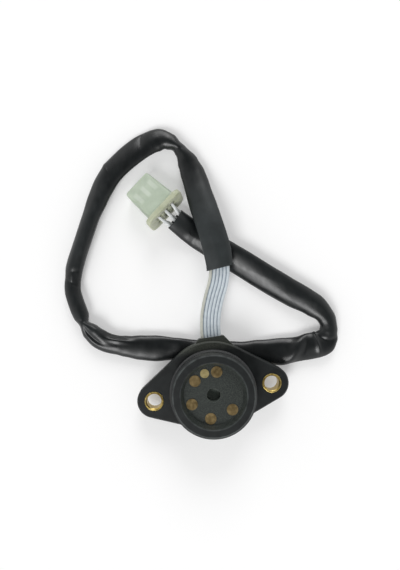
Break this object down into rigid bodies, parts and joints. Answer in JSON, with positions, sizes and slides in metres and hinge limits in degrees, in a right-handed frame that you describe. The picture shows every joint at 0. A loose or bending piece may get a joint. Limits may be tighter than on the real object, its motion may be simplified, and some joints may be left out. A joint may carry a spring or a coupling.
{
  "type": "gear position sensor",
  "caption": "Round contact plate on a two-bolt diamond flange that senses the selected gear, with a sleeved ribbon lead ending in a pale nylon connector.",
  "frame": {"origin": "on the spigot's axis, in the plane of the rear face that the sensor lies on", "axes": "+Z out of the contact face along the spigot's axis, X through both bolt holes, +Y where the lead leaves"},
  "size_m": [0.1038, 0.1177, 0.017],
  "materials": {
    "housing_moulding": "fine grained",
    "potting_compound": "cast epoxy",
    "bush_brass": "turned",
    "seal_rubber": "satin",
    "neutral_brass": "faced",
    "contact_copper": "tarnished",
    "ribbon_insulation": "satin",
    "sleeve_vinyl": "soft gloss",
    "connector_nylon": "natural, cloudy",
    "terminal_brass": "stamped"
  },
  "bodies": {
    "root": {"housing": "housing_moulding", "potting": "potting_compound", "bush_left": "bush_brass", "bush_right": "bush_brass", "seal_ring": "seal_rubber", "contact_neutral": "neutral_brass", "core_ends": "contact_copper", "ribbon_cable": "ribbon_insulation", "sleeve": "sleeve_vinyl", "connector_housing": "connector_nylon", "contact_gear_1": "contact_copper", "contact_gear_2": "contact_copper", "contact_gear_3": "contact_copper", "contact_gear_4": "contact_copper", "contact_gear_5": "contact_copper", "connector_terminal_1": "terminal_brass", "connector_terminal_2": "terminal_brass", "connector_terminal_3": "terminal_brass", "connector_terminal_4": "terminal_brass", "connector_terminal_5": "terminal_brass", "connector_terminal_6": "terminal_brass"}
  },
  "joints": []
}
